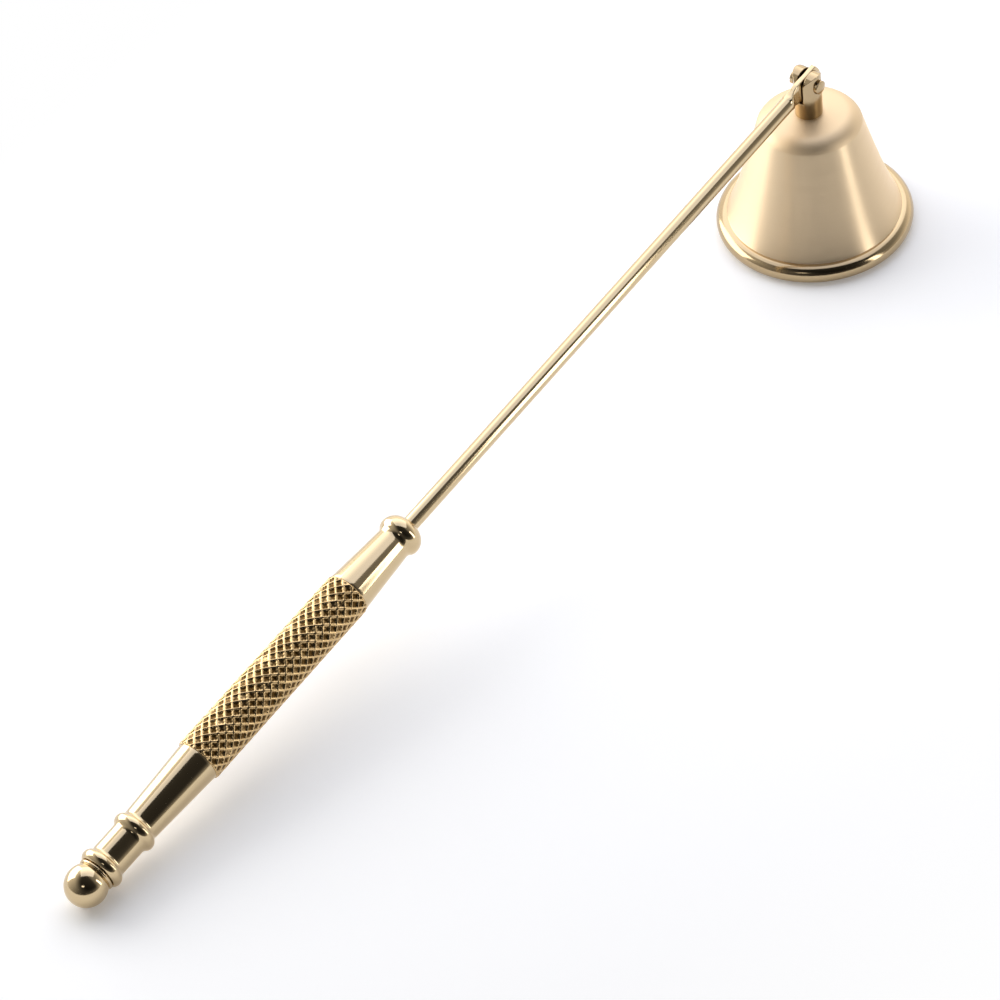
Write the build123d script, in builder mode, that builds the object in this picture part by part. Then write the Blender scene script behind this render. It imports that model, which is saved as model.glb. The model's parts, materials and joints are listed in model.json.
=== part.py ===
"""Candle snuffer: a spun bell hinged to a thin rod with a turned, knurled handle.

Millimetres. The origin is the centre of the bell's mouth on the table, +Z is up, and the handle runs
towards -X. At rest the bell stands on its rolled rim and the ball at the handle's end touches the table.
"""
import os
from math import asin, cos, radians, sin, sqrt

from build123d import *

os.makedirs("parts", exist_ok=True)

# Bell: spun sheet, domed crown, flared flank, edge rolled into a bead
mouth_radius = 18.85
rim_bead_radius = 1.9
rim_flat_depth = 0.06
foot_inset = 0.3
wall_thickness = 0.9
shoulder_radius = 9.95
shoulder_height = 24.7
crown_rise = 2.5
crown_dome = 0.32
crown_seat_margin = 0.2
shoulder_normal_angle = 27.0
crown_normal_angle = 84.0
flank_height_shares = (0.649, 0.829)
flank_radius_shares = (0.555, 0.741)

# Clevis post: a round post on the crown, slotted into two ears
post_radius = 2.65
ear_round_radius = 2.6
pivot_above_crown = 7.0
slot_width = 1.6
slot_floor_clearance = 0.15
spot_face_depth = 0.25
spot_face_margin = 0.1

# Pivot: a binding screw, a domed barrel closed by a slotted screw
barrel_radius = 0.95
barrel_end_gap = 0.3
pivot_head_radius = 1.32
pivot_head_height = 1.0
pivot_head_dome_share = 0.25
pivot_screw_radius = 0.5
pivot_screw_length = 3.2
pivot_screw_end_gap = 0.5
driver_slot_width = 0.4
driver_slot_depth = 0.4

# Screw and washer inside the bell, which hold the post
post_screw_radius = 1.0
post_screw_grip = 2.3
post_screw_end_gap = 0.4
post_screw_head_radius = 2.0
post_screw_head_height = 1.3
post_screw_driver_depth = 0.6
washer_radius = 3.0
washer_thickness = 0.5

# Rod: round, with its end pressed flat into the eye
rod_radius = 1.5
rod_insertion = 12.0
eye_reach = 3.25
eye_half_height = 2.2
eye_thickness = 1.2
eye_flat_length = 4.4
eye_runout = 2.2

# Handle, from the ball upwards
handle_length = 206.4
ball_radius = 3.82
neck_bead_seat_radius = 3.12
neck_bead_radius = 3.45
neck_bead_width = 0.5
neck_groove_width = 0.25
neck_groove_radius = 2.85
stud_radius = 1.5
stud_length = 6.0
ring_radius = 4.08
end_ring_width = 2.82
end_ring_crest_share = 0.62
end_ring_corner_radius = 3.5
barrel_neck_radius = 3.33
barrel_neck_length = 4.87
middle_ring_width = 3.5
butt_taper_length = 14.95
butt_taper_radius = 4.06
grip_radius = 4.35
grip_length = 40.7
grip_end_round = 0.3
grip_bore_radius = 2.6
spigot_length = 9.0
ferrule_taper_radius = 4.16
ferrule_taper_length = 12.35
ferrule_neck_radius = 3.33
collar_ring_width = 2.1
collar_nose_length = 2.6

# Fits and allowances
fixed_fit = 0.02
running_fit = 0.05
blind_end_gap = 0.5
overrun = 2.0
ring_crest_share = 0.55
ring_foot_share = 1 - ring_crest_share

# Bell levels and the circle that rounds the crown's edge
crown_height = shoulder_height + crown_rise
bead_centre_radius = mouth_radius - rim_bead_radius
bead_centre_height = rim_bead_radius - rim_flat_depth
foot_radius = bead_centre_radius - foot_inset
foot_height = bead_centre_height + sqrt(rim_bead_radius**2 - foot_inset**2)
shoulder_normal = radians(shoulder_normal_angle)
crown_normal = radians(crown_normal_angle)
crown_edge_radius = (crown_rise - crown_dome) / (1 - sin(shoulder_normal))
crown_edge_centre = Vector(
    shoulder_radius - crown_edge_radius * cos(shoulder_normal),
    shoulder_height - crown_edge_radius * sin(shoulder_normal),
)
crown_under_height = crown_height - wall_thickness
crown_seat_radius = max(post_radius, washer_radius) + crown_seat_margin
post_screw_hole_radius = post_screw_radius + running_fit

# The pivot, and the line of the rod and handle, which slopes down until the ball touches the table
pivot_height = crown_height + pivot_above_crown
slope = asin((pivot_height - ball_radius) / handle_length)
handle_direction = Vector(-cos(slope), 0, -sin(slope))
handle_plane = Plane(origin=(0, 0, pivot_height), x_dir=handle_direction, z_dir=(0, 1, 0))
handle_plan = Plane(origin=(0, 0, pivot_height), x_dir=handle_direction, z_dir=handle_plane.y_dir)
handle_axis = Axis(handle_plane.origin, handle_direction)
pivot_axis = Axis((0, 0, pivot_height), (0, 1, 0))

# Stations along the handle, measured from the pivot towards the ball
neck_bead_station = handle_length - sqrt(ball_radius**2 - neck_bead_seat_radius**2)
ball_seat_station = neck_bead_station - neck_bead_width - neck_groove_width
barrel_neck_low = ball_seat_station - end_ring_width
barrel_neck_high = barrel_neck_low - barrel_neck_length
taper_low = barrel_neck_high - middle_ring_width
grip_low = taper_low - butt_taper_length
grip_high = grip_low - grip_length
ferrule_neck_station = grip_high - ferrule_taper_length
collar_station = ferrule_neck_station - collar_ring_width
nose_station = collar_station - collar_nose_length
rod_end_station = nose_station + rod_insertion
spigot_end = grip_high + spigot_length
spigot_radius = grip_bore_radius - fixed_fit
spot_face_station = post_radius - spot_face_depth
pivot_skirt_height = pivot_head_height * (1 - pivot_head_dome_share)


def bell_skin(inset):
    """Profile from the crown's flat seat to the foot, in radius and height, set in by the inset."""
    edge_radius = crown_edge_radius - inset
    edge_start = crown_edge_centre + Vector(cos(crown_normal), sin(crown_normal)) * edge_radius
    edge_end = crown_edge_centre + Vector(cos(shoulder_normal), sin(shoulder_normal)) * edge_radius
    flank_drop = shoulder_height - foot_height
    flank_spread = foot_radius - shoulder_radius
    flank = [edge_end]
    for height_share, radius_share in zip(flank_height_shares, flank_radius_shares):
        radius = shoulder_radius + flank_spread * radius_share - inset
        flank.append(Vector(radius, shoulder_height - flank_drop * height_share))
    flank.append(Vector(foot_radius - inset, foot_height - inset))
    seat_end = Vector(crown_seat_radius, crown_height - inset)
    TangentArc(edge_start, seat_end, tangent=(-sin(crown_normal), cos(crown_normal)))
    CenterArc(
        crown_edge_centre,
        edge_radius,
        crown_normal_angle,
        shoulder_normal_angle - crown_normal_angle,
    )
    Bezier(*flank)
    Line(flank[-1], (flank[-1].X, bead_centre_height))
    Line(seat_end, (post_screw_hole_radius, seat_end.Y))


def turned_ring(start, width, low_radius, high_radius, crest_radius):
    """Rounded ring with hollow fillets at both of its feet, as a profile along the handle."""
    crest = start + width / 2
    half_crest = ring_crest_share * width / 2
    shoulder_one = (crest - half_crest, low_radius + ring_foot_share * (crest_radius - low_radius))
    shoulder_two = (crest + half_crest, high_radius + ring_foot_share * (crest_radius - high_radius))
    TangentArc((start, low_radius), shoulder_one, tangent=(1, 0))
    ThreePointArc(shoulder_one, (crest, crest_radius), shoulder_two)
    TangentArc((start + width, high_radius), shoulder_two, tangent=(-1, 0))


# Bell
with BuildPart() as bell:
    with BuildSketch(Plane.XZ):
        with BuildLine():
            bell_skin(0)
            bell_skin(wall_thickness)
            Line((post_screw_hole_radius, crown_height), (post_screw_hole_radius, crown_under_height))
            Line((foot_radius, bead_centre_height), (foot_radius - wall_thickness, bead_centre_height))
        make_face()
        with Locations((bead_centre_radius, bead_centre_height)):
            Circle(rim_bead_radius)
        with Locations((bead_centre_radius, 0)):
            Rectangle(
                2 * rim_bead_radius + overrun,
                overrun,
                align=(Align.CENTER, Align.MAX),
                mode=Mode.SUBTRACT,
            )
    revolve(axis=Axis.Z)
bell.part.label = "bell"
export_step(bell.part, "parts/bell.step")

# Clevis post: round, with its top rounded about the pivot, the slot along the handle, the pivot hole and
# a flat spot round each end of it
with BuildPart() as clevis_post:
    with BuildSketch(Plane.XY.offset(crown_height)):
        Circle(post_radius)
    extrude(amount=pivot_above_crown + ear_round_radius)
    with BuildSketch(Plane(pivot_axis.position, x_dir=(1, 0, 0), z_dir=(0, 1, 0))):
        Circle(ear_round_radius)
        Rectangle(2 * post_radius, pivot_above_crown, align=(Align.CENTER, Align.MIN))
    extrude(amount=post_radius, both=True, mode=Mode.INTERSECT)
    with BuildSketch(Plane.XY.offset(pivot_height - eye_reach - slot_floor_clearance)):
        Rectangle(2 * post_radius + overrun, slot_width)
    extrude(amount=eye_reach + slot_floor_clearance + ear_round_radius, mode=Mode.SUBTRACT)
    with BuildSketch(Plane(pivot_axis.position, x_dir=(1, 0, 0), z_dir=(0, 1, 0))):
        Circle(barrel_radius + fixed_fit)
    extrude(amount=post_radius + overrun, both=True, mode=Mode.SUBTRACT)
    for side in (1, -1):
        spot_centre = Vector(0, side * spot_face_station, pivot_height)
        with BuildSketch(Plane(spot_centre, x_dir=(1, 0, 0), z_dir=(0, side, 0))):
            Circle(pivot_head_radius + spot_face_margin)
        extrude(amount=overrun, mode=Mode.SUBTRACT)
    with BuildSketch(Plane.XY.offset(crown_height)):
        Circle(post_screw_radius + fixed_fit)
    extrude(amount=post_screw_grip + post_screw_end_gap, mode=Mode.SUBTRACT)
clevis_post.part.label = "clevis_post"
export_step(clevis_post.part, "parts/clevis_post.step")

# Pivot barrel: domed head on the near ear, shaft through both ears, bored from its far end
with BuildPart() as pivot_barrel:
    barrel_end = spot_face_station - barrel_end_gap
    with BuildSketch(Plane.XY.offset(pivot_height)):
        with BuildLine():
            Line((0, -spot_face_station - pivot_head_height), (0, barrel_end))
            Line((0, barrel_end), (barrel_radius, barrel_end))
            Line((barrel_radius, barrel_end), (barrel_radius, -spot_face_station))
            Line((barrel_radius, -spot_face_station), (pivot_head_radius, -spot_face_station))
            Line(
                (pivot_head_radius, -spot_face_station),
                (pivot_head_radius, -spot_face_station - pivot_skirt_height),
            )
            TangentArc(
                (0, -spot_face_station - pivot_head_height),
                (pivot_head_radius, -spot_face_station - pivot_skirt_height),
                tangent=(1, 0),
            )
        make_face()
    revolve(axis=pivot_axis)
    with BuildSketch(Plane((0, barrel_end, pivot_height), x_dir=(1, 0, 0), z_dir=(0, -1, 0))):
        Circle(pivot_screw_radius + fixed_fit)
    extrude(amount=pivot_screw_length + pivot_screw_end_gap, mode=Mode.SUBTRACT)
pivot_barrel.part.label = "pivot_barrel"
export_step(pivot_barrel.part, "parts/pivot_barrel.step")

# Pivot screw: domed head with a driver slot on the far ear, shank inside the barrel
with BuildPart() as pivot_screw:
    screw_crown = spot_face_station + pivot_head_height
    screw_tip = barrel_end - pivot_screw_length
    with BuildSketch(Plane.XY.offset(pivot_height)):
        with BuildLine():
            Line((0, screw_crown), (0, screw_tip))
            Line((0, screw_tip), (pivot_screw_radius, screw_tip))
            Line((pivot_screw_radius, screw_tip), (pivot_screw_radius, spot_face_station))
            Line((pivot_screw_radius, spot_face_station), (pivot_head_radius, spot_face_station))
            Line(
                (pivot_head_radius, spot_face_station),
                (pivot_head_radius, spot_face_station + pivot_skirt_height),
            )
            TangentArc(
                (0, screw_crown),
                (pivot_head_radius, spot_face_station + pivot_skirt_height),
                tangent=(1, 0),
            )
        make_face()
    revolve(axis=pivot_axis)
    with BuildSketch(Plane((0, screw_crown, pivot_height), x_dir=(1, 0, 0), z_dir=(0, -1, 0))):
        Rectangle(2 * pivot_head_radius + overrun, driver_slot_width)
    extrude(amount=driver_slot_depth, mode=Mode.SUBTRACT)
pivot_screw.part.label = "pivot_screw"
export_step(pivot_screw.part, "parts/pivot_screw.step")

# Post washer, under the crown
with BuildPart() as post_washer:
    with BuildSketch(Plane.XY.offset(crown_under_height - washer_thickness)):
        Circle(washer_radius)
        Circle(post_screw_hole_radius, mode=Mode.SUBTRACT)
    extrude(amount=washer_thickness)
post_washer.part.label = "post_washer"
export_step(post_washer.part, "parts/post_washer.step")

# Post screw, from inside the bell into the post
with BuildPart() as post_screw:
    head_seat = crown_under_height - washer_thickness
    with BuildSketch(Plane.XY.offset(head_seat - post_screw_head_height)):
        Circle(post_screw_head_radius)
    extrude(amount=post_screw_head_height)
    fillet(post_screw.edges().group_by(Axis.Z)[0], radius=post_screw_head_height / 2)
    with BuildSketch(Plane.XY.offset(head_seat)):
        Circle(post_screw_radius)
    extrude(amount=washer_thickness + wall_thickness + post_screw_grip)
    with BuildSketch(Plane.XY.offset(head_seat - post_screw_head_height)):
        Rectangle(2 * post_screw_head_radius + overrun, driver_slot_width)
    extrude(amount=post_screw_driver_depth, mode=Mode.SUBTRACT)
post_screw.part.label = "post_screw"
export_step(post_screw.part, "parts/post_screw.step")

# Snuffer rod, with the pressed eye that turns on the barrel between the ears
with BuildPart() as snuffer_rod:
    with BuildSketch(handle_plane):
        with Locations((eye_half_height, 0)):
            Rectangle(rod_end_station - eye_half_height, rod_radius, align=(Align.MIN, Align.MIN))
    revolve(axis=handle_axis)
    with BuildSketch(handle_plan):
        with BuildLine():
            runout_end = eye_flat_length + eye_runout
            Line((0, 0), (0, eye_thickness / 2))
            Line((0, eye_thickness / 2), (eye_flat_length, eye_thickness / 2))
            TangentArc((eye_flat_length, eye_thickness / 2), (runout_end, rod_radius), tangent=(1, 0))
            Line((runout_end, rod_radius), (runout_end, rod_radius + overrun))
            Line((runout_end, rod_radius + overrun), (rod_end_station + overrun, rod_radius + overrun))
            Line((rod_end_station + overrun, rod_radius + overrun), (rod_end_station + overrun, 0))
            Line((rod_end_station + overrun, 0), (0, 0))
        make_face()
        mirror(about=Plane.XZ)
    extrude(amount=rod_radius + overrun, both=True, mode=Mode.INTERSECT)
    with BuildSketch(handle_plane):
        Circle(eye_reach)
        Rectangle(2 * eye_reach, 2 * eye_half_height, mode=Mode.INTERSECT)
        with BuildLine():
            Line((0, 0), (0, eye_half_height))
            Line((0, eye_half_height), (eye_flat_length - eye_thickness, eye_half_height))
            neck_middle = (eye_flat_length, (eye_half_height + rod_radius) / 2)
            TangentArc(
                (eye_flat_length - eye_thickness, eye_half_height),
                neck_middle,
                tangent=(1, 0),
            )
            TangentArc((eye_flat_length + eye_thickness, rod_radius), neck_middle, tangent=(-1, 0))
            Line((eye_flat_length + eye_thickness, rod_radius), (eye_flat_length + eye_thickness, 0))
            Line((eye_flat_length + eye_thickness, 0), (0, 0))
        make_face()
        mirror(about=Plane.XZ)
        Circle(barrel_radius + running_fit, mode=Mode.SUBTRACT)
    extrude(amount=eye_thickness / 2, both=True)
snuffer_rod.part.label = "snuffer_rod"
export_step(snuffer_rod.part, "parts/snuffer_rod.step")

# Grip ferrule: nose, collar ring and taper, with a spigot inside the grip and a bore for the rod
with BuildPart() as grip_ferrule:
    with BuildSketch(handle_plane):
        with BuildLine():
            collar_crest = (collar_station, ring_radius)
            ring_foot = (ferrule_neck_station, ferrule_neck_radius)
            ring_middle = (
                collar_station + ring_crest_share * collar_ring_width,
                ferrule_neck_radius + ring_foot_share * (ring_radius - ferrule_neck_radius),
            )
            Line((nose_station, 0), (nose_station, rod_radius))
            TangentArc(collar_crest, (nose_station, rod_radius), tangent=(-1, 0))
            TangentArc(collar_crest, ring_middle, tangent=(1, 0))
            TangentArc(ring_foot, ring_middle, tangent=(-1, 0))
            Line(ring_foot, (grip_high, ferrule_taper_radius))
            Line((grip_high, ferrule_taper_radius), (grip_high, spigot_radius))
            Line((grip_high, spigot_radius), (spigot_end, spigot_radius))
            Line((spigot_end, spigot_radius), (spigot_end, 0))
            Line((spigot_end, 0), (nose_station, 0))
        make_face()
    revolve(axis=handle_axis)
    with BuildSketch(handle_plane):
        with Locations((nose_station - overrun, 0)):
            Rectangle(
                rod_insertion + blind_end_gap + overrun,
                rod_radius + fixed_fit,
                align=(Align.MIN, Align.MIN),
            )
    revolve(axis=handle_axis, mode=Mode.SUBTRACT)
grip_ferrule.part.label = "grip_ferrule"
export_step(grip_ferrule.part, "parts/grip_ferrule.step")

# Knurled grip: a sleeve between the two turned ends
with BuildPart() as knurled_grip:
    with BuildSketch(handle_plane):
        with Locations((grip_high, grip_bore_radius)):
            Rectangle(grip_length, grip_radius - grip_bore_radius, align=(Align.MIN, Align.MIN))
    revolve(axis=handle_axis)
    outer_rims = knurled_grip.edges().filter_by(GeomType.CIRCLE).sort_by(SortBy.RADIUS)[-2:]
    fillet(outer_rims, radius=grip_end_round)
knurled_grip.part.label = "knurled_grip"
export_step(knurled_grip.part, "parts/knurled_grip.step")

# Grip butt: spigot, taper, middle ring, short neck and end ring, bored for the ball's stud
with BuildPart() as grip_butt:
    with BuildSketch(handle_plane):
        with BuildLine():
            end_ring_height = ring_radius - barrel_neck_radius
            end_ring_crest = barrel_neck_low + end_ring_width * end_ring_crest_share
            end_ring_middle = (
                end_ring_crest - ring_crest_share * (end_ring_crest - barrel_neck_low),
                barrel_neck_radius + ring_foot_share * end_ring_height,
            )
            end_ring_corner = (ball_seat_station, end_ring_corner_radius)
            Line((grip_low - spigot_length, 0), (grip_low - spigot_length, spigot_radius))
            Line((grip_low - spigot_length, spigot_radius), (grip_low, spigot_radius))
            Line((grip_low, spigot_radius), (grip_low, butt_taper_radius))
            Line((grip_low, butt_taper_radius), (taper_low, barrel_neck_radius))
            turned_ring(taper_low, middle_ring_width, barrel_neck_radius, barrel_neck_radius, ring_radius)
            Line((barrel_neck_high, barrel_neck_radius), (barrel_neck_low, barrel_neck_radius))
            TangentArc((barrel_neck_low, barrel_neck_radius), end_ring_middle, tangent=(1, 0))
            TangentArc((end_ring_crest, ring_radius), end_ring_middle, tangent=(-1, 0))
            TangentArc((end_ring_crest, ring_radius), end_ring_corner, tangent=(1, 0))
            Line(end_ring_corner, (ball_seat_station, 0))
            Line((ball_seat_station, 0), (grip_low - spigot_length, 0))
        make_face()
    revolve(axis=handle_axis)
    with BuildSketch(handle_plane):
        with Locations((ball_seat_station + overrun, 0)):
            Rectangle(
                stud_length + blind_end_gap + overrun,
                stud_radius + fixed_fit,
                align=(Align.MAX, Align.MIN),
            )
    revolve(axis=handle_axis, mode=Mode.SUBTRACT)
grip_butt.part.label = "grip_butt"
export_step(grip_butt.part, "parts/grip_butt.step")

# Ball finial: ball, thin neck bead, groove and stud
with BuildPart() as ball_finial:
    with BuildSketch(handle_plane):
        with BuildLine():
            groove_station = neck_bead_station - neck_bead_width
            ball_edge = (neck_bead_station, neck_bead_seat_radius)
            Line((handle_length + ball_radius, 0), (ball_seat_station - stud_length, 0))
            Line((ball_seat_station - stud_length, 0), (ball_seat_station - stud_length, stud_radius))
            Line((ball_seat_station - stud_length, stud_radius), (ball_seat_station, stud_radius))
            Line((ball_seat_station, stud_radius), (ball_seat_station, neck_groove_radius))
            Line((ball_seat_station, neck_groove_radius), (groove_station, neck_groove_radius))
            ThreePointArc(
                (groove_station, neck_groove_radius),
                (neck_bead_station - neck_bead_width / 2, neck_bead_radius),
                ball_edge,
            )
            ThreePointArc(ball_edge, (handle_length, ball_radius), (handle_length + ball_radius, 0))
        make_face()
    revolve(axis=handle_axis)
ball_finial.part.label = "ball_finial"
export_step(ball_finial.part, "parts/ball_finial.step")
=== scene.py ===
"""Candle snuffer in pale brass: satin bell on a hinge, polished rod, turned handle with a knurled grip.

Metres, in the frame of the solids. The handle's pieces are turned about the line from the pivot to the ball.
"""
import json
import math

import bmesh
import bpy
from mathutils import Matrix, Vector, noise


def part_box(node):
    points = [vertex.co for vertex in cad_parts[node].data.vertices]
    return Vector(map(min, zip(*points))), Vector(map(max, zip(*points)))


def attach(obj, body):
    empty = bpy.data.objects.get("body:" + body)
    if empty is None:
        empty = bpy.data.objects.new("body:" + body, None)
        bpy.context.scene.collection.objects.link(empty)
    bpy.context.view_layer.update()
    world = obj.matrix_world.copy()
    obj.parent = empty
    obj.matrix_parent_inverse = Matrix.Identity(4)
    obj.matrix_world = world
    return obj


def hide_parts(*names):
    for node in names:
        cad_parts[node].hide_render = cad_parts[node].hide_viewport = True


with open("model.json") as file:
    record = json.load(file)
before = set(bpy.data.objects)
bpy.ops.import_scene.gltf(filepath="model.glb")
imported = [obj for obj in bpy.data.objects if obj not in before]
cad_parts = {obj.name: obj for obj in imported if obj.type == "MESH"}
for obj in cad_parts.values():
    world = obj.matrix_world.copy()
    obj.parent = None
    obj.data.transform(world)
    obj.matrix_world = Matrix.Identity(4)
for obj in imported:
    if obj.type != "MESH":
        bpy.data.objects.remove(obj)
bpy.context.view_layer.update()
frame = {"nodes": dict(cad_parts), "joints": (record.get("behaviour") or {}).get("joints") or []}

mm = 0.001

# Pivot and line of the handle, from the frame
pivot = Vector(frame["joints"][0]["pos_m"])
ball_low, ball_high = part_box("ball_finial")
rod_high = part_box("snuffer_rod")[1]
bell_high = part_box("bell")[1]
post_low, post_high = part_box("clevis_post")
ball_radius = (ball_high.y - ball_low.y) / 2
ball_centre = Vector((ball_low.x + ball_radius, 0, ball_low.z + ball_radius))
handle_length = (ball_centre - pivot).length
down_handle = (ball_centre - pivot).normalized()
across_handle = Vector((0, 1, 0))
over_handle = across_handle.cross(down_handle)
handle_axes = Matrix((over_handle, across_handle, down_handle)).transposed().to_4x4()
handle_place = Matrix.Translation(pivot) @ handle_axes

# Bell
mouth_radius = bell_high.x
rim_bead_radius = 1.9 * mm
rim_flat_depth = 0.06 * mm
foot_inset = 0.3 * mm
wall_thickness = 0.9 * mm
shoulder_radius = 9.95 * mm
shoulder_height = 24.7 * mm
crown_rise = 2.5 * mm
crown_dome = 0.32 * mm
crown_seat_radius = 3.2 * mm
shoulder_normal = math.radians(27)
crown_normal = math.radians(84)
flank_height_shares = (0.649, 0.829)
flank_radius_shares = (0.555, 0.741)
post_hole_radius = 1.05 * mm

# Rod and eye
rod_radius = rod_high.y
eye_reach = 3.25 * mm
eye_half_height = 2.2 * mm
eye_half_thickness = 0.6 * mm
eye_flat_length = 4.4 * mm
eye_runout = 2.2 * mm
eye_neck_start = 3.2 * mm
eye_neck_end = 5.6 * mm
eye_squareness = 7
rod_insertion = 12.0 * mm

# Pivot barrel
barrel_radius = 0.95 * mm
barrel_head_radius = 1.32 * mm
barrel_head_height = 1.0 * mm
barrel_head_dome_share = 0.25
spot_face_depth = 0.25 * mm
barrel_end_gap = 0.3 * mm

# Handle
neck_bead_seat_radius = 3.12 * mm
neck_bead_radius = 3.45 * mm
neck_bead_width = 0.5 * mm
neck_groove_width = 0.25 * mm
neck_groove_radius = 2.85 * mm
ring_radius = 4.08 * mm
end_ring_width = 2.82 * mm
end_ring_crest_share = 0.62
end_ring_corner_radius = 3.5 * mm
barrel_neck_radius = 3.33 * mm
barrel_neck_length = 4.87 * mm
middle_ring_width = 3.5 * mm
butt_taper_length = 14.95 * mm
butt_taper_radius = 4.06 * mm
grip_radius = 4.35 * mm
grip_length = 40.7 * mm
grip_bore_radius = 2.6 * mm
ferrule_taper_radius = 4.16 * mm
ferrule_taper_length = 12.35 * mm
ferrule_neck_radius = 3.33 * mm
collar_ring_width = 2.1 * mm
collar_nose_length = 2.6 * mm
ring_crest_share = 0.55
ring_foot_share = 1 - ring_crest_share

# Knurl: rows of pressed pits between thin crossed ridges
knurl_cells = 14
knurl_pitch = 2.0 * mm
knurl_depth = 0.3 * mm
knurl_steps = 17
ridge_share = 0.14
pit_power = 0.75
dimple_depth = 0.12 * mm
dimples_per_pitch = 2
knurl_wear = 0.5
knurl_end_land = 0.3 * mm
knurl_end_drop = 0.2 * mm

# Meshing: steps round an axis, then along an outline
bell_round_steps = 256
handle_round_steps = 192
barrel_round_steps = 96
rod_round_steps = 96
arc_steps = 14
crown_edge_steps = 40
flank_steps = 60
rim_bead_steps = 72
barrel_dome_steps = 24
nose_steps = 28
neck_bead_steps = 16
ball_steps = 90
eye_tip_degrees = 6
eye_steps = 60
rod_steps = 60
edge_ease = 0.07 * mm
edge_steps = 4
edge_run_share = 0.4
sharp_turn = math.radians(20)
longest_facet = 0.5 * mm
weld_distance = 0.0005 * mm

# Stations along the handle, from the pivot towards the ball
neck_bead_station = handle_length - math.sqrt(ball_radius**2 - neck_bead_seat_radius**2)
ball_seat_station = neck_bead_station - neck_bead_width - neck_groove_width
barrel_neck_low = ball_seat_station - end_ring_width
barrel_neck_high = barrel_neck_low - barrel_neck_length
taper_low = barrel_neck_high - middle_ring_width
grip_low = taper_low - butt_taper_length
grip_high = grip_low - grip_length
ferrule_neck_station = grip_high - ferrule_taper_length
collar_station = ferrule_neck_station - collar_ring_width
nose_station = collar_station - collar_nose_length


def arc(start, end, tangent, steps=arc_steps):
    """Points of the circular arc from start to end that leaves start along the tangent, without its start."""
    start = Vector(start)
    chord = Vector(end) - start
    heading = Vector(tangent).normalized()
    side = Vector((-heading.y, heading.x))
    half_turn = math.atan2(chord.dot(side), chord.dot(heading))
    points = []
    for step in range(1, steps + 1):
        part = half_turn * step / steps
        reach = chord.length * math.sin(part) / math.sin(half_turn)
        points.append(start + (heading * math.cos(part) + side * math.sin(part)) * reach)
    return points


def three_point_arc(start, middle, end, steps=neck_bead_steps):
    """Points of the circular arc from start through the middle to the end, without its ends."""
    near = middle - start
    far = end - start
    area = 2 * near.cross(far)
    centre = start + Vector((
        (far.y * near.length_squared - near.y * far.length_squared) / area,
        (near.x * far.length_squared - far.x * near.length_squared) / area,
    ))
    first = math.atan2(start.y - centre.y, start.x - centre.x)
    span = (math.atan2(end.y - centre.y, end.x - centre.x) - first) % (2 * math.pi)
    if area < 0:
        span -= 2 * math.pi
    radius = (start - centre).length
    turns = [first + span * step / steps for step in range(1, steps)]
    return [centre + Vector((math.cos(turn), math.sin(turn))) * radius for turn in turns]


def eased(outline):
    """The outline with each of its corners rounded off by a small arc."""
    points = [Vector(point) for point in outline]
    rounded = [points[0]]
    for before, corner, after in zip(points, points[1:], points[2:]):
        coming = corner - before
        going = after - corner
        turn = coming.angle(going)
        if turn < sharp_turn:
            rounded.append(corner)
            continue
        shorter_run = min(coming.length, going.length)
        setback = min(edge_ease * math.tan(turn / 2), edge_run_share * shorter_run)
        begin = corner - coming.normalized() * setback
        finish = corner + going.normalized() * setback
        rounded.append(begin)
        rounded.extend(arc(begin, finish, coming, edge_steps))
    rounded.append(points[-1])
    return rounded


def eased_share(share):
    """The share held between 0 and 1, with a soft start and end."""
    share = min(1, max(0, share))
    return share * share * (3 - 2 * share)


def spaced(outline):
    """The outline with its long runs divided."""
    points = [Vector(outline[0])]
    for point in outline[1:]:
        start = points[-1].copy()
        run = Vector(point) - start
        parts = max(1, math.ceil(run.length / longest_facet))
        points.extend(start + run * part / parts for part in range(1, parts + 1))
    return points


def finished(name, shape, materials, body, nodes):
    """Makes a smooth, merged piece of the shape, riding on its body in place of its nodes."""
    bmesh.ops.remove_doubles(shape, verts=shape.verts, dist=weld_distance)
    bmesh.ops.recalc_face_normals(shape, faces=shape.faces)
    for face in shape.faces:
        face.smooth = True
    mesh = bpy.data.meshes.new(name)
    shape.to_mesh(mesh)
    shape.free()
    for material in materials:
        mesh.materials.append(material)
    piece = bpy.data.objects.new(name, mesh)
    bpy.context.scene.collection.objects.link(piece)
    weighted = piece.modifiers.new("weighted_normals", "WEIGHTED_NORMAL")
    weighted.keep_sharp = True
    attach(piece, body)
    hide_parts(*nodes)


def turned_shape(outline, place, steps=handle_round_steps):
    """Solid of revolution of the outline, given in radius and station, about the local Z of its place.

    Its layer "run" holds the length along the outline at each of its points.
    """
    shape = bmesh.new()
    layer = shape.verts.layers.float.new("run")
    row = [shape.verts.new((radius, 0, station)) for radius, station in outline]
    run = 0
    for vert, (before, after) in zip(row, zip([outline[0], *outline], outline)):
        run += (Vector(after) - Vector(before)).length
        vert[layer] = run
    wires = [shape.edges.new(pair) for pair in zip(row, row[1:])]
    bmesh.ops.spin(
        shape, geom=row + wires, cent=(0, 0, 0), axis=(0, 0, 1),
        angle=2 * math.pi, steps=steps, use_merge=True, use_duplicate=False,
    )
    bmesh.ops.remove_doubles(shape, verts=shape.verts, dist=weld_distance)
    bmesh.ops.transform(shape, matrix=place, verts=shape.verts)
    return shape


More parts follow.
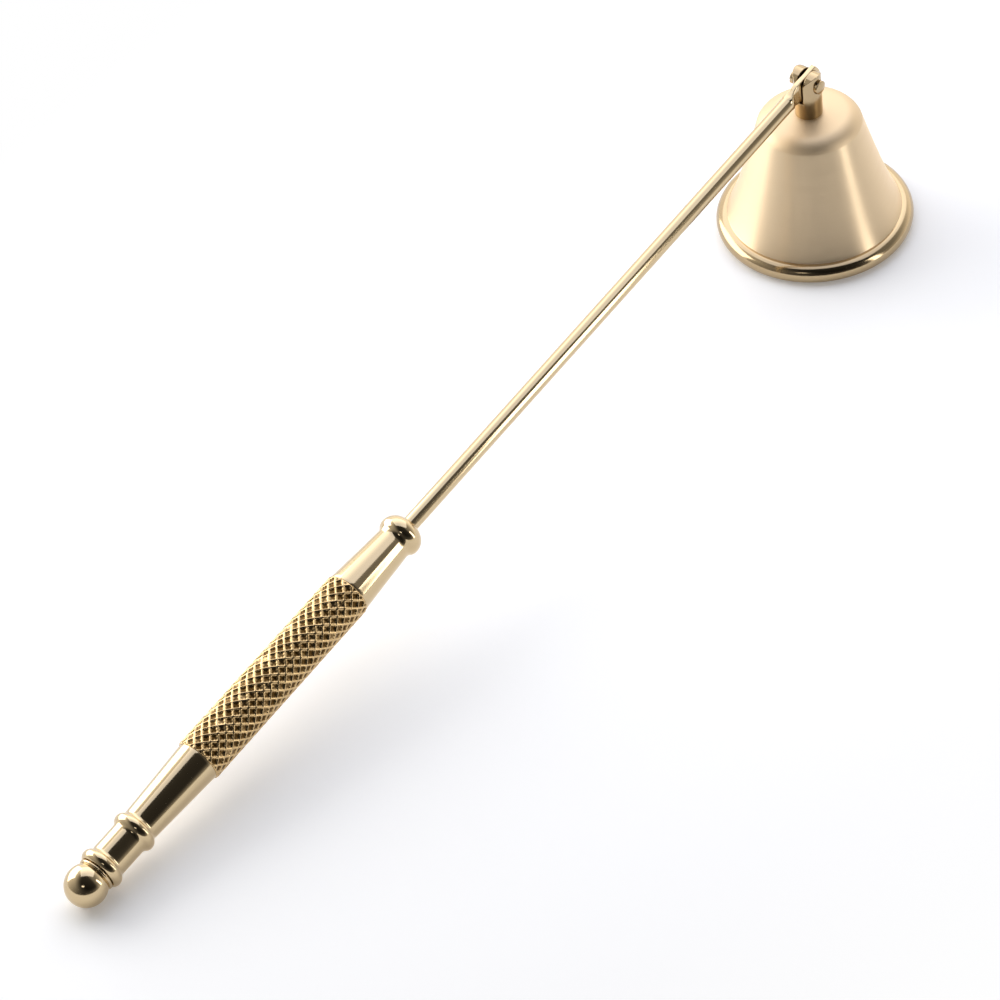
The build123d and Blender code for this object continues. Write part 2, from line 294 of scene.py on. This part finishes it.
def meridian_uv(shape):
    """UV map of a shape turned about Z: U runs along its outline, V round the axis, both in metres."""
    layer = shape.loops.layers.uv.new("meridian")
    run = shape.verts.layers.float["run"]
    for face in shape.faces:
        middle = face.calc_center_median()
        middle_turn = math.atan2(middle.y, middle.x)
        for loop in face.loops:
            point = loop.vert.co
            turn = math.remainder(math.atan2(point.y, point.x) - middle_turn, 2 * math.pi)
            loop[layer].uv = (loop.vert[run], (middle_turn + turn) * mouth_radius)


# Materials

def linear(hex_colour):
    """Linear RGBA of an sRGB hex colour."""
    channels = [int(hex_colour[i:i + 2], 16) / 255 for i in (1, 3, 5)]
    return (*(c / 12.92 if c <= 0.04045 else ((c + 0.055) / 1.055) ** 2.4 for c in channels), 1)


def add(tree, kind, settings=(), **links):
    """Adds a node, sets its properties and its inputs, and links the inputs that are given sockets."""
    node = tree.nodes.new(kind)
    for name, value in dict(settings).items():
        setattr(node, name, value)
    for name, value in links.items():
        key = int(name[1:]) if name[0] == "i" and name[1:].isdigit() else name.replace("_", " ")
        socket = node.inputs[key]
        if isinstance(value, bpy.types.NodeSocket):
            tree.links.new(value, socket)
        else:
            socket.default_value = value
    return node


def new_material(name):
    """A material with an empty node tree and its output."""
    material = bpy.data.materials.new(name)
    material.use_nodes = True
    tree = material.node_tree
    tree.nodes.clear()
    return material, tree, tree.nodes.new("ShaderNodeOutputMaterial")


satin_colour = "#E4CCA8"
polished_colour = "#CFB993"
# Painted shade: a darker brass for the rim bead and hinge, standing in for the shade and dark reflections on
# them.
painted_shade_colour = "#B8A27F"
crest_colour = "#D3B482"
# Colour of the knurl's pits: brown tarnish together with painted shade.
pit_tarnish_and_shade_colour = "#59411F"


def make_polished_brass(name, roughness, colour):
    """Turned brass, mirror polished: sharp reflections, faint wipe marks and a very slight waviness."""
    wipe_size = 1.2 * mm
    wave_size = 5 * mm
    wave_height = 0.02 * mm
    material, tree, output = new_material(name)
    place = add(tree, "ShaderNodeTexCoord").outputs["Object"]
    wipe = add(tree, "ShaderNodeTexNoise", Vector=place, Scale=1 / wipe_size, Detail=4, Roughness=0.6)
    gloss = add(
        tree, "ShaderNodeMapRange", Value=wipe.outputs["Fac"],
        To_Min=roughness * 0.8, To_Max=roughness * 1.25,
    )
    wave = add(tree, "ShaderNodeTexNoise", Vector=place, Scale=1 / wave_size, Detail=1)
    bump = add(tree, "ShaderNodeBump", Height=wave.outputs["Fac"], Strength=0.15, Distance=wave_height)
    shader = add(
        tree, "ShaderNodeBsdfPrincipled", Base_Color=linear(colour), Metallic=1,
        Roughness=gloss.outputs["Result"], Normal=bump.outputs["Normal"],
    )
    tree.links.new(shader.outputs["BSDF"], output.inputs["Surface"])
    return material


def make_painted_shade_brass():
    """Turned brass that is handled and knocked: faintly scuffed, its edges worn round; its colour is made
    less bright as painted shade, so that the rim bead and hinge look shaded.
    """
    scuff_size = 0.8 * mm
    scuff_height = 0.02 * mm
    worn_radius = 0.15 * mm
    material, tree, output = new_material("painted_shade_turned_brass")
    place = add(tree, "ShaderNodeTexCoord").outputs["Object"]
    scuff = add(tree, "ShaderNodeTexNoise", Vector=place, Scale=1 / scuff_size, Detail=5, Roughness=0.65)
    gloss = add(tree, "ShaderNodeMapRange", Value=scuff.outputs["Fac"], To_Min=0.1, To_Max=0.2)
    worn_edge = add(tree, "ShaderNodeBevel", {"samples": 8}, Radius=worn_radius)
    bump = add(
        tree, "ShaderNodeBump", Height=scuff.outputs["Fac"], Normal=worn_edge.outputs["Normal"],
        Strength=0.1, Distance=scuff_height,
    )
    shader = add(
        tree, "ShaderNodeBsdfPrincipled", Base_Color=linear(painted_shade_colour), Metallic=1,
        Roughness=gloss.outputs["Result"], Normal=bump.outputs["Normal"],
    )
    tree.links.new(shader.outputs["BSDF"], output.inputs["Surface"])
    return material


def make_knurled_brass():
    """Knurled brass, polished by the hand on its crests, darker and browner in the pits: partly tarnish,
    partly painted shade of the pits.
    """
    stain_size = 1.5 * mm
    material, tree, output = new_material("polished_knurl_brass")
    depth = add(tree, "ShaderNodeAttribute", {"attribute_name": "pit"}).outputs["Fac"]
    place = add(tree, "ShaderNodeTexCoord").outputs["Object"]
    stain = add(tree, "ShaderNodeTexNoise", Vector=place, Scale=1 / stain_size, Detail=4, Roughness=0.6)
    edge = add(tree, "ShaderNodeMapRange", Value=stain.outputs["Fac"], To_Min=0.6, To_Max=1.3)
    # Painted shade and tarnish: the deeper a point lies in a pit, the nearer its colour to the pit colour.
    dark = add(
        tree, "ShaderNodeMapRange", {"interpolation_type": "SMOOTHSTEP"}, Value=depth,
        From_Min=0.15, From_Max=edge.outputs["Result"],
    )
    colour = add(
        tree, "ShaderNodeMixRGB", Fac=dark.outputs["Result"],
        Color1=linear(crest_colour), Color2=linear(pit_tarnish_and_shade_colour),
    )
    gloss = add(tree, "ShaderNodeMapRange", Value=dark.outputs["Result"], To_Min=0.12, To_Max=0.35)
    shader = add(
        tree, "ShaderNodeBsdfPrincipled", Base_Color=colour.outputs["Color"], Metallic=1,
        Roughness=gloss.outputs["Result"],
    )
    tree.links.new(shader.outputs["BSDF"], output.inputs["Surface"])
    return material


def make_satin_brass():
    """Spun brass, brushed on the lathe: fine rings that draw each highlight out along the bell's outline.

    The rings are drawn 0.4 mm apart, coarser than the real ones, so that they show.
    """
    ring_spacing = 0.4 * mm
    ring_reach = 30 * mm
    ring_height = 0.01 * mm
    material, tree, output = new_material("lathe_brushed_brass")
    run = add(tree, "ShaderNodeUVMap", {"uv_map": "meridian"}).outputs["UV"]
    stretch = add(tree, "ShaderNodeMapping", Vector=run, Scale=(1 / ring_spacing, 1 / ring_reach, 1))
    rings = add(
        tree, "ShaderNodeTexNoise", Vector=stretch.outputs["Vector"], Scale=1, Detail=3, Roughness=0.6,
    )
    gloss = add(tree, "ShaderNodeMapRange", Value=rings.outputs["Fac"], To_Min=0.3, To_Max=0.5)
    bump = add(tree, "ShaderNodeBump", Height=rings.outputs["Fac"], Strength=0.1, Distance=ring_height)
    tangent = add(tree, "ShaderNodeTangent", {"direction_type": "UV_MAP", "uv_map": "meridian"})
    shader = add(
        tree, "ShaderNodeBsdfPrincipled", Base_Color=linear(satin_colour), Metallic=1,
        Roughness=gloss.outputs["Result"], Anisotropic=0.85, Normal=bump.outputs["Normal"],
        Tangent=tangent.outputs["Tangent"],
    )
    tree.links.new(shader.outputs["BSDF"], output.inputs["Surface"])
    return material


def make_rubbed_brass():
    """Spun brass of the crown, rubbed even in all directions: a soft sheen with no clear reflection."""
    grain_size = 0.12 * mm
    grain_height = 0.01 * mm
    material, tree, output = new_material("rubbed_brass")
    place = add(tree, "ShaderNodeTexCoord").outputs["Object"]
    grain = add(tree, "ShaderNodeTexNoise", Vector=place, Scale=1 / grain_size, Detail=3, Roughness=0.6)
    gloss = add(tree, "ShaderNodeMapRange", Value=grain.outputs["Fac"], To_Min=0.48, To_Max=0.6)
    bump = add(tree, "ShaderNodeBump", Height=grain.outputs["Fac"], Strength=0.1, Distance=grain_height)
    shader = add(
        tree, "ShaderNodeBsdfPrincipled", Base_Color=linear(satin_colour), Metallic=1,
        Roughness=gloss.outputs["Result"], Normal=bump.outputs["Normal"],
    )
    tree.links.new(shader.outputs["BSDF"], output.inputs["Surface"])
    return material


def make_steel():
    """Turned steel of the hidden screw and washer: grey, dull, with fine rings."""
    ring_spacing = 0.3 * mm
    material, tree, output = new_material("turned_steel")
    place = add(tree, "ShaderNodeTexCoord").outputs["Object"]
    rings = add(tree, "ShaderNodeTexNoise", Vector=place, Scale=1 / ring_spacing, Detail=3)
    gloss = add(tree, "ShaderNodeMapRange", Value=rings.outputs["Fac"], To_Min=0.3, To_Max=0.45)
    shader = add(
        tree, "ShaderNodeBsdfPrincipled", Base_Color=linear("#B9B6AF"), Metallic=1,
        Roughness=gloss.outputs["Result"],
    )
    tree.links.new(shader.outputs["BSDF"], output.inputs["Surface"])
    return material


polished_brass = make_polished_brass("polished_brass", 0.1, polished_colour)
knurl_brass = make_knurled_brass()
satin_brass = make_satin_brass()
rubbed_brass = make_rubbed_brass()
painted_shade_brass = make_painted_shade_brass()
turned_steel = make_steel()


# Pieces

def bell_outline(inset):
    """Outline of the bell's sheet from the crown's flat seat to the foot, set in by the inset."""
    crown_height = shoulder_height + crown_rise
    bead_centre_radius = mouth_radius - rim_bead_radius
    foot_radius = bead_centre_radius - foot_inset
    foot_height = rim_bead_radius - rim_flat_depth + math.sqrt(rim_bead_radius**2 - foot_inset**2)
    edge_circle = (crown_rise - crown_dome) / (1 - math.sin(shoulder_normal))
    centre = Vector((
        shoulder_radius - edge_circle * math.cos(shoulder_normal),
        shoulder_height - edge_circle * math.sin(shoulder_normal),
    ))
    circle = edge_circle - inset
    edge_start = centre + Vector((math.cos(crown_normal), math.sin(crown_normal))) * circle
    seat = Vector((crown_seat_radius, crown_height - inset))
    outline = [seat]
    dome = arc(edge_start, seat, (-math.sin(crown_normal), math.cos(crown_normal)))
    outline.extend(reversed(dome[:-1]))
    for step in range(crown_edge_steps + 1):
        turn = crown_normal + (shoulder_normal - crown_normal) * step / crown_edge_steps
        outline.append(centre + Vector((math.cos(turn), math.sin(turn))) * circle)
    drop = shoulder_height - foot_height
    spread = foot_radius - shoulder_radius
    controls = [outline[-1]]
    for height_share, radius_share in zip(flank_height_shares, flank_radius_shares):
        radius = shoulder_radius + spread * radius_share - inset
        controls.append(Vector((radius, shoulder_height - drop * height_share)))
    controls.append(Vector((foot_radius - inset, foot_height - inset)))
    for step in range(1, flank_steps + 1):
        share = step / flank_steps
        rest = 1 - share
        outline.append(
            controls[0] * rest**3
            + controls[1] * 3 * rest**2 * share
            + controls[2] * 3 * rest * share**2
            + controls[3] * share**3
        )
    return outline


def make_bell():
    """Spun bell with its rolled rim, as one closed wall."""
    bead_centre = Vector((mouth_radius - rim_bead_radius, rim_bead_radius - rim_flat_depth))
    outer = bell_outline(0)
    inner = bell_outline(wall_thickness)
    outline = [Vector((post_hole_radius, inner[0].y)), Vector((post_hole_radius, outer[0].y))] + outer
    first = math.acos(-foot_inset / rim_bead_radius)
    last = math.acos(-(foot_inset + wall_thickness) / rim_bead_radius) - 2 * math.pi
    for step in range(1, rim_bead_steps + 1):
        turn = first + (last - first) * step / rim_bead_steps
        point = bead_centre + Vector((math.cos(turn), math.sin(turn))) * rim_bead_radius
        outline.append(Vector((point.x, max(point.y, 0))))
    outline.extend(reversed(inner))
    outline.append(outline[0].copy())
    shape = turned_shape(spaced(eased(outline)), Matrix.Identity(4), bell_round_steps)
    meridian_uv(shape)
    foot = inner[-1].lerp(outer[-1], 0.5)
    # The crown takes the rubbed brass; the rim bead and foot take the darker brass, which is painted shade.
    for face in shape.faces:
        middle = face.calc_center_median()
        radius = math.hypot(middle.x, middle.y)
        if middle.z > shoulder_height and middle.z > shoulder_height + (radius - shoulder_radius):
            face.material_index = 1
        elif middle.z < foot.y or radius > outer[-1].x:
            face.material_index = 2
    finished("spun_bell", shape, [satin_brass, rubbed_brass, painted_shade_brass], "bell", ["bell"])


def make_barrel():
    """Domed barrel of the binding screw, from its near head to its far end."""
    spot = (post_high.y - post_low.y) / 2 - spot_face_depth
    far_end = spot - barrel_end_gap
    crown = -spot - barrel_head_height
    skirt = -spot - barrel_head_height * (1 - barrel_head_dome_share)
    outline = [(0, crown)]
    outline.extend(arc((0, crown), (barrel_head_radius, skirt), (1, 0), barrel_dome_steps))
    outline.extend([(barrel_head_radius, -spot), (barrel_radius, -spot)])
    outline.extend([(barrel_radius, far_end), (0, far_end)])
    place = Matrix.Translation(pivot) @ Matrix.Rotation(math.radians(-90), 4, "X")
    shape = turned_shape(spaced(eased(outline)), place, barrel_round_steps)
    # The barrel takes the darker brass, which is painted shade.
    finished("binding_barrel", shape, [painted_shade_brass], "bell", ["pivot_barrel"])


def make_rod():
    """Round rod, pressed flat at its end into the eye that turns on the barrel."""
    end = nose_station + rod_insertion
    run = eye_flat_length + eye_runout
    stations = [-eye_reach * math.cos(math.radians(angle)) for angle in range(0, 90, eye_tip_degrees)]
    stations += [run * step / eye_steps for step in range(eye_steps + 1)]
    stations += [run + (end - run) * step / rod_steps for step in range(1, rod_steps + 1)]
    shape = bmesh.new()
    circle = bmesh.ops.create_circle(shape, cap_ends=False, segments=rod_round_steps, radius=rod_radius)
    edges = list(shape.edges)
    rings = [circle["verts"]]
    for _ in stations[1:]:
        extruded = bmesh.ops.extrude_edge_only(shape, edges=edges)["geom"]
        edges = [part for part in extruded if isinstance(part, bmesh.types.BMEdge)]
        rings.append([part for part in extruded if isinstance(part, bmesh.types.BMVert)])
    for station, ring in zip(stations, rings):
        blend = eased_share((run - station) / eye_runout)
        neck = eased_share((eye_neck_end - station) / (eye_neck_end - eye_neck_start))
        half_thickness = rod_radius + (eye_half_thickness - rod_radius) * blend
        half_height = rod_radius + (eye_half_height - rod_radius) * neck
        if station < 0:
            half_height = min(half_height, math.sqrt(max(0, eye_reach**2 - station**2)))
        squareness = 2 + (eye_squareness - 2) * blend
        for vert in ring:
            turn = math.atan2(vert.co.y, vert.co.x)
            upward = math.cos(turn)
            sideways = math.sin(turn)
            vert.co = (
                math.copysign(abs(upward) ** (2 / squareness), upward) * half_height,
                math.copysign(abs(sideways) ** (2 / squareness), sideways) * half_thickness,
                station,
            )
    bmesh.ops.holes_fill(shape, edges=shape.edges, sides=0)
    bmesh.ops.transform(shape, matrix=handle_place, verts=shape.verts)
    finished("rod_and_eye", shape, [polished_brass], "handle", ["snuffer_rod"])


def make_ferrule():
    """Nose, collar ring and taper of the handle's upper end."""
    crest = (ring_radius, collar_station)
    middle = (
        ferrule_neck_radius + ring_foot_share * (ring_radius - ferrule_neck_radius),
        collar_station + ring_crest_share * collar_ring_width,
    )
    outline = [(rod_radius, nose_station)]
    outline.extend(reversed(arc(crest, (rod_radius, nose_station), (0, -1), nose_steps)[:-1]))
    outline.append(crest)
    outline.extend(arc(crest, middle, (0, 1)))
    outline.extend(reversed(arc((ferrule_neck_radius, ferrule_neck_station), middle, (0, -1))[:-1]))
    outline.append((ferrule_neck_radius, ferrule_neck_station))
    outline.append((ferrule_taper_radius, grip_high))
    outline.append((grip_bore_radius, grip_high))
    outline.append((grip_bore_radius, nose_station + wall_thickness))
    outline.append((rod_radius, nose_station + wall_thickness))
    outline.append((rod_radius, nose_station))
    shape = turned_shape(spaced(eased(outline)), handle_place)
    finished("turned_ferrule", shape, [polished_brass], "handle", ["grip_ferrule"])


def make_butt():
    """Taper, middle ring, short neck and end ring of the handle's lower end."""
    slope_radius = barrel_neck_radius + ring_foot_share * (ring_radius - barrel_neck_radius)
    crest = taper_low + middle_ring_width / 2
    slope_reach = ring_crest_share * middle_ring_width / 2
    near_slope = (slope_radius, crest - slope_reach)
    far_slope = (slope_radius, crest + slope_reach)
    end_crest = barrel_neck_low + end_ring_width * end_ring_crest_share
    end_slope = (slope_radius, end_crest - ring_crest_share * (end_crest - barrel_neck_low))
    corner = (end_ring_corner_radius, ball_seat_station)
    outline = [(grip_bore_radius, grip_low), (butt_taper_radius, grip_low)]
    outline.append((barrel_neck_radius, taper_low))
    outline.extend(arc((barrel_neck_radius, taper_low), near_slope, (0, 1)))
    outline.extend(reversed(arc((ring_radius, crest), near_slope, (0, -1))[:-1]))
    outline.append((ring_radius, crest))
    outline.extend(arc((ring_radius, crest), far_slope, (0, 1)))
    outline.extend(reversed(arc((barrel_neck_radius, barrel_neck_high), far_slope, (0, -1))[:-1]))
    outline.append((barrel_neck_radius, barrel_neck_high))
    outline.append((barrel_neck_radius, barrel_neck_low))
    outline.extend(arc((barrel_neck_radius, barrel_neck_low), end_slope, (0, 1)))
    outline.extend(reversed(arc((ring_radius, end_crest), end_slope, (0, -1))[:-1]))
    outline.append((ring_radius, end_crest))
    outline.extend(arc((ring_radius, end_crest), corner, (0, 1)))
    outline.append((grip_bore_radius, ball_seat_station))
    outline.append((grip_bore_radius, grip_low))
    shape = turned_shape(spaced(eased(outline)), handle_place)
    finished("turned_butt", shape, [polished_brass], "handle", ["grip_butt"])


def make_ball():
    """Polished ball with the thin bead and groove at its neck."""
    first = math.acos(neck_bead_seat_radius / ball_radius)
    groove_edge = Vector((neck_groove_radius, ball_seat_station + neck_groove_width))
    crest = Vector((neck_bead_radius, neck_bead_station - neck_bead_width / 2))
    ball_edge = Vector((neck_bead_seat_radius, neck_bead_station))
    outline = [(0, ball_seat_station), (neck_groove_radius, ball_seat_station), groove_edge]
    outline.extend(three_point_arc(groove_edge, crest, ball_edge))
    for step in range(ball_steps + 1):
        turn = -first + (math.pi / 2 + first) * step / ball_steps
        outline.append((max(0, ball_radius * math.cos(turn)), handle_length + ball_radius * math.sin(turn)))
    shape = turned_shape(spaced(eased(outline)), handle_place)
    finished("ball_end", shape, [polished_brass], "handle", ["ball_finial"])


def make_grip():
    """Knurled sleeve: pits pressed between crossed ridges, with a plain land at each end."""
    rows = round(grip_length / knurl_pitch * knurl_steps)
    outline = [(grip_bore_radius, grip_high)]
    outline.extend((grip_radius, grip_high + grip_length * row / rows) for row in range(rows + 1))
    outline.append((grip_bore_radius, grip_low))
    outline.append((grip_bore_radius, grip_high))
    shape = turned_shape(outline, Matrix.Identity(4), knurl_cells * knurl_steps)
    pit_layer = shape.verts.layers.float.new("pit")
    for vert in shape.verts:
        radius = math.hypot(vert.co.x, vert.co.y)
        if radius < (grip_radius + grip_bore_radius) / 2:
            continue
        round_share = math.atan2(vert.co.y, vert.co.x) / (2 * math.pi) * knurl_cells
        along_share = (vert.co.z - grip_high) / knurl_pitch
        to_end = min(vert.co.z - grip_high, grip_low - vert.co.z)
        one = abs(math.sin(math.pi * (round_share + along_share)))
        two = abs(math.sin(math.pi * (round_share - along_share)))
        pit = max(0, (one * two - ridge_share) / (1 - ridge_share)) ** pit_power
        dimple = 0.5 - 0.5 * math.cos(2 * math.pi * (round_share + along_share) * dimples_per_pitch)
        dimple *= 0.5 - 0.5 * math.cos(2 * math.pi * (round_share - along_share) * dimples_per_pitch)
        wear = 1 + knurl_wear * noise.noise(vert.co / knurl_pitch)
        drop = (knurl_depth * pit + dimple_depth * dimple) * wear
        land = max(0, 1 - to_end / knurl_end_land)
        vert[pit_layer] = drop * (1 - land) / knurl_depth
        drop = drop * (1 - land) + knurl_end_drop * land * land
        vert.co.x *= (grip_radius - drop) / radius
        vert.co.y *= (grip_radius - drop) / radius
    bmesh.ops.transform(shape, matrix=handle_place, verts=shape.verts)
    finished("knurled_sleeve", shape, [knurl_brass], "handle", ["knurled_grip"])


make_bell()
make_barrel()
make_rod()
make_ferrule()
make_butt()
make_ball()
make_grip()

# The post and pivot screw take the darker brass, which is painted shade.
node_finishes = {
    "clevis_post": painted_shade_brass,
    "pivot_screw": painted_shade_brass,
    "post_screw": turned_steel,
    "post_washer": turned_steel,
}
for node_name, material in node_finishes.items():
    node = frame["nodes"][node_name]
    node.data.materials.clear()
    node.data.materials.append(material)


# Studio

floor_glow = 0.15
floor_half_width = 8
floor_drop = 0.01 * mm
shadow_reach = 70 * mm
white_reach = 150 * mm
bright_heading = math.radians(30)
overhead = (0, -0.6, 1)


def make_floor():
    """White table top: it keeps the object's shadow, and away from the object it shows plain white."""
    shape = bmesh.new()
    bmesh.ops.create_grid(shape, x_segments=1, y_segments=1, size=floor_half_width)
    bmesh.ops.translate(shape, vec=(0, 0, -floor_drop), verts=shape.verts)
    mesh = bpy.data.meshes.new("floor")
    shape.to_mesh(mesh)
    shape.free()
    floor = bpy.data.objects.new("floor", mesh)
    bpy.context.scene.collection.objects.link(floor)
    material, tree, output = new_material("white_table")
    diffuse = add(tree, "ShaderNodeBsdfDiffuse", Color=linear("#FCFCFC"))
    path = add(tree, "ShaderNodeLightPath")
    sum_up = {"operation": "ADD"}
    seen = add(
        tree, "ShaderNodeMath", sum_up, i0=path.outputs["Is Camera Ray"], i1=path.outputs["Is Glossy Ray"],
    )
    shown = add(tree, "ShaderNodeMath", sum_up, i0=seen.outputs[0], i1=path.outputs["Is Transmission Ray"])
    strength = add(tree, "ShaderNodeMath", {"operation": "MULTIPLY"}, i0=shown.outputs[0], i1=floor_glow)
    glow = add(tree, "ShaderNodeEmission", Color=(1, 1, 1, 1), Strength=strength.outputs[0])
    lit = add(tree, "ShaderNodeAddShader", i0=diffuse.outputs[0], i1=glow.outputs[0])
    place = add(tree, "ShaderNodeTexCoord").outputs["Object"]
    half_length = (bell_high.x - ball_low.x) / 2
    centred = add(
        tree, "ShaderNodeVectorMath", {"operation": "ADD"}, i0=place, i1=(half_length - bell_high.x, 0, 0),
    )
    either_side = add(tree, "ShaderNodeVectorMath", {"operation": "ABSOLUTE"}, i0=centred.outputs["Vector"])
    past_end = add(
        tree, "ShaderNodeVectorMath", {"operation": "SUBTRACT"},
        i0=either_side.outputs["Vector"], i1=(half_length, 0, 0),
    )
    outside = add(
        tree, "ShaderNodeVectorMath", {"operation": "MAXIMUM"}, i0=past_end.outputs["Vector"], i1=(0, 0, 0),
    )
    away = add(tree, "ShaderNodeVectorMath", {"operation": "LENGTH"}, i0=outside.outputs["Vector"])
    fade = add(
        tree, "ShaderNodeMapRange", {"interpolation_type": "SMOOTHSTEP"}, Value=away.outputs["Value"],
        From_Min=shadow_reach, From_Max=white_reach,
    )
    share = add(
        tree, "ShaderNodeMath", {"operation": "MULTIPLY"}, i0=shown.outputs[0], i1=fade.outputs["Result"],
    )
    white = add(tree, "ShaderNodeEmission", Color=(1, 1, 1, 1), Strength=1)
    both = add(tree, "ShaderNodeMixShader", i0=share.outputs[0], i1=lit.outputs[0], i2=white.outputs[0])
    tree.links.new(both.outputs[0], output.inputs["Surface"])
    mesh.materials.append(material)


def make_softbox(name, centre, aim, width, height, radiance, colour="#FFFFFF"):
    """Rectangular soft lamp at its centre, facing its aim. Its power is four times radiance times area."""
    lamp = bpy.data.lights.new(name, "AREA")
    lamp.shape = "RECTANGLE"
    lamp.size = width
    lamp.size_y = height
    lamp.energy = radiance * 4 * width * height
    lamp.color = linear(colour)[:3]
    holder = bpy.data.objects.new(name, lamp)
    bpy.context.scene.collection.objects.link(holder)
    turn = (Vector(centre) - Vector(aim)).to_track_quat("Z", "Y").to_matrix().to_4x4()
    holder.matrix_world = Matrix.Translation(Vector(centre)) @ turn
    holder.visible_camera = False


def make_room():
    """Pale room: lighter behind and to the right, dark overhead and over the front, less so to the right."""
    world = bpy.data.worlds.new("room")
    world.use_nodes = True
    tree = world.node_tree
    direction = add(tree, "ShaderNodeTexCoord").outputs["Generated"]
    side = add(
        tree, "ShaderNodeVectorMath", {"operation": "DOT_PRODUCT"}, i0=direction,
        i1=(math.cos(bright_heading), math.sin(bright_heading), 0),
    )
    wall = add(
        tree, "ShaderNodeMapRange", Value=side.outputs["Value"],
        From_Min=-1, From_Max=1, To_Min=0.06, To_Max=1.6,
    )
    along = add(tree, "ShaderNodeSeparateXYZ", Vector=direction).outputs["X"]
    dark = add(
        tree, "ShaderNodeMapRange", {"interpolation_type": "SMOOTHSTEP"}, Value=along,
        From_Min=0.15, From_Max=0.45, To_Min=0.05, To_Max=0.3,
    )
    lean = add(tree, "ShaderNodeVectorMath", {"operation": "DOT_PRODUCT"}, i0=direction, i1=overhead)
    ceiling = add(
        tree, "ShaderNodeMapRange", {"interpolation_type": "SMOOTHSTEP"}, Value=lean.outputs["Value"],
        From_Min=0.25, From_Max=0.95, To_Min=1, To_Max=dark.outputs["Result"],
    )
    level = add(
        tree, "ShaderNodeMath", {"operation": "MULTIPLY"},
        i0=wall.outputs["Result"], i1=ceiling.outputs["Result"],
    )
    tree.links.new(level.outputs[0], tree.nodes["Background"].inputs["Strength"])
    tree.nodes["Background"].inputs["Color"].default_value = linear("#FFFCF7")
    bpy.context.scene.world = world


def make_studio():
    """Soft lamps: window behind, top light, upright front strip and a small front lamp."""
    make_softbox(
        "window", centre=(-0.158, 0.323, 0.15), aim=(-0.1, 0, 0.08),
        width=0.36, height=0.28, radiance=2.5,
    )
    make_softbox(
        "top_light", centre=(0.11, 0.11, 0.36), aim=(0.02, 0.02, 0.02),
        width=0.52, height=0.52, radiance=0.95, colour="#E6ECFF",
    )
    make_softbox(
        "front_strip", centre=(0.068, -0.32, 0.13), aim=(-0.04, 0, 0.13),
        width=0.06, height=0.26, radiance=3.3,
    )
    make_softbox(
        "small_front", centre=(-0.55, -0.2, 0.4), aim=(-0.2, 0, 0),
        width=0.12, height=0.06, radiance=1.6,
    )


def make_camera():
    """Camera at the photograph's viewing angle."""
    photo_size = 1000
    focal_pixels = 4204.087
    heading = math.radians(45.126)
    elevation = math.radians(44.719)
    roll = math.radians(-7.808)
    target = Vector((-99.708, -4.592, 10.0)) * mm
    distance = 745.64 * mm
    forward = Vector((math.sin(heading), math.cos(heading), 0))
    ahead = forward * math.cos(elevation) - Vector((0, 0, math.sin(elevation)))
    level = Vector((math.cos(heading), -math.sin(heading), 0))
    upright = level.cross(ahead)
    right = level * math.cos(roll) + upright * math.sin(roll)
    up = upright * math.cos(roll) - level * math.sin(roll)
    camera = bpy.data.cameras.new("camera")
    camera.sensor_width = 36
    camera.lens = camera.sensor_width * focal_pixels / photo_size
    holder = bpy.data.objects.new("camera", camera)
    bpy.context.scene.collection.objects.link(holder)
    turn = Matrix((right, up, -ahead)).transposed().to_4x4()
    holder.matrix_world = Matrix.Translation(target - ahead * distance) @ turn
    bpy.context.scene.camera = holder


make_floor()
make_room()
make_studio()
make_camera()
bpy.context.scene.view_settings.view_transform = "Standard"
